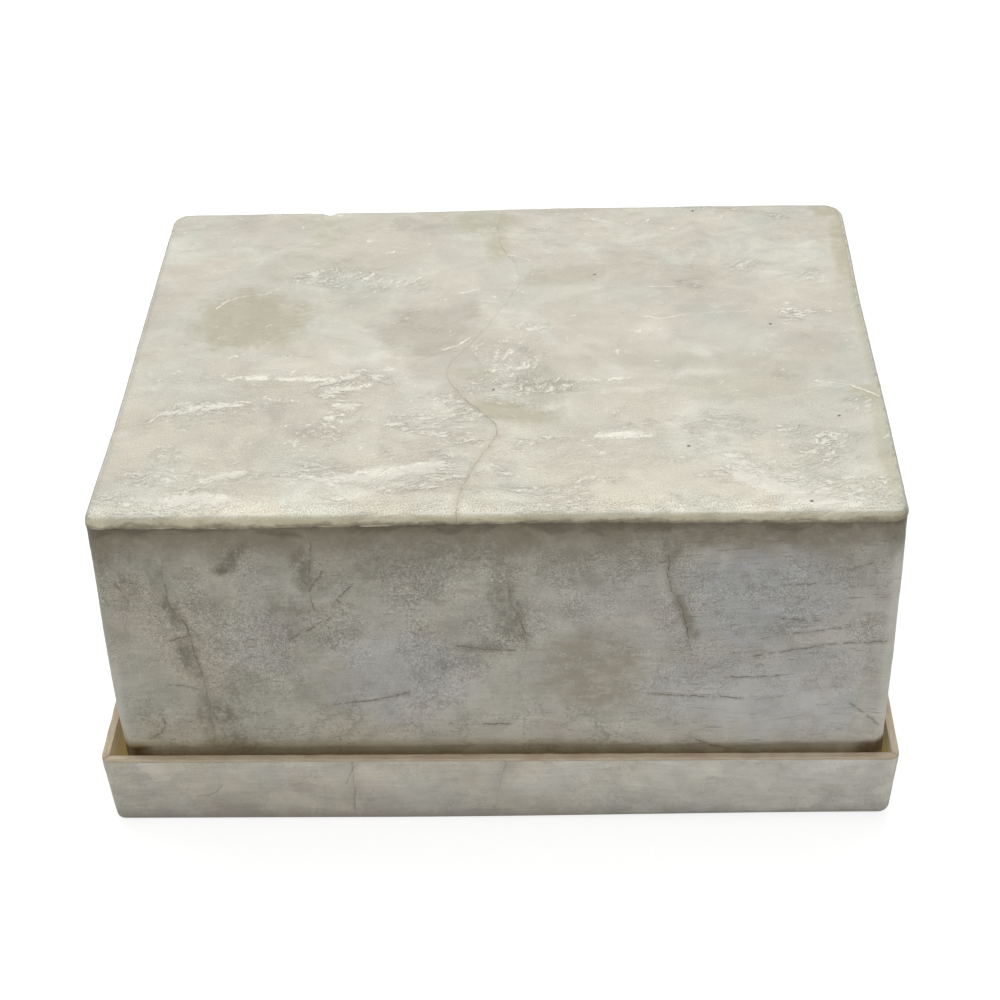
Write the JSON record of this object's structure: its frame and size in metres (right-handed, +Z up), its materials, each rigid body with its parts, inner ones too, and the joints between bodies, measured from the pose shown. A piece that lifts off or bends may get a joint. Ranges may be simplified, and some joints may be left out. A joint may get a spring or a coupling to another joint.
{
  "type": "lidded box",
  "caption": "Rectangular keepsake box of laminated shell leaves: a deep lid stands mouth down in a shallow flared tray and lifts straight off.",
  "frame": {"origin": "middle of the tray's underside, on the surface the box stands on", "axes": "+X along the front to the right, +Y to the back, +Z up"},
  "size_m": [0.1188, 0.0944, 0.0556],
  "materials": {
    "shell_top": "satin pearly lacquer",
    "shell_wall": "satin pearly lacquer",
    "shell_wrap": "satin pearly lacquer",
    "shell_tray": "satin pearly lacquer",
    "shell_lining": "amber translucent shell, satin",
    "rim_edging": "cream, satin"
  },
  "bodies": {
    "tray": {"tray_back_leaf_1": "shell_tray", "tray_back_leaf_2": "shell_tray", "tray_back_leaf_3": "shell_tray", "tray_back_lining": "shell_lining", "tray_floor_leaf_left": "shell_tray", "tray_floor_leaf_right": "shell_tray", "tray_floor_lining": "shell_lining", "tray_front_leaf_1": "shell_tray", "tray_front_leaf_2": "shell_tray", "tray_front_leaf_3": "shell_tray", "tray_front_lining": "shell_lining", "tray_left_leaf_1": "shell_tray", "tray_left_leaf_2": "shell_tray", "tray_left_lining": "shell_lining", "tray_right_leaf_1": "shell_tray", "tray_right_leaf_2": "shell_tray", "tray_right_lining": "shell_lining", "tray_rim_edging_back": "rim_edging", "tray_rim_edging_front": "rim_edging", "tray_rim_edging_left": "rim_edging", "tray_rim_edging_right": "rim_edging"},
    "lid": {"lid_back_leaf_1": "shell_wall", "lid_back_leaf_2": "shell_wall", "lid_back_leaf_3": "shell_wall", "lid_back_lining": "shell_lining", "lid_corner_wrap_back_left": "shell_wrap", "lid_corner_wrap_back_right": "shell_wrap", "lid_corner_wrap_front_left": "shell_wrap", "lid_corner_wrap_front_right": "shell_wrap", "lid_front_leaf_1": "shell_wall", "lid_front_leaf_2": "shell_wall", "lid_front_leaf_3": "shell_wall", "lid_front_leaf_4": "shell_wall", "lid_front_leaf_5": "shell_wall", "lid_front_lining": "shell_lining", "lid_left_leaf_1": "shell_wall", "lid_left_leaf_2": "shell_wall", "lid_left_lining": "shell_lining", "lid_right_leaf_1": "shell_wall", "lid_right_leaf_2": "shell_wall", "lid_right_lining": "shell_lining", "lid_top_leaf_left": "shell_top", "lid_top_leaf_right": "shell_top", "lid_top_lining": "shell_lining"}
  },
  "joints": [
    {"name": "lid_lift", "type": "slide", "parent": "tray", "child": "lid", "axis": [0, 0, 1], "range_m": [0, 0.08]}
  ]
}
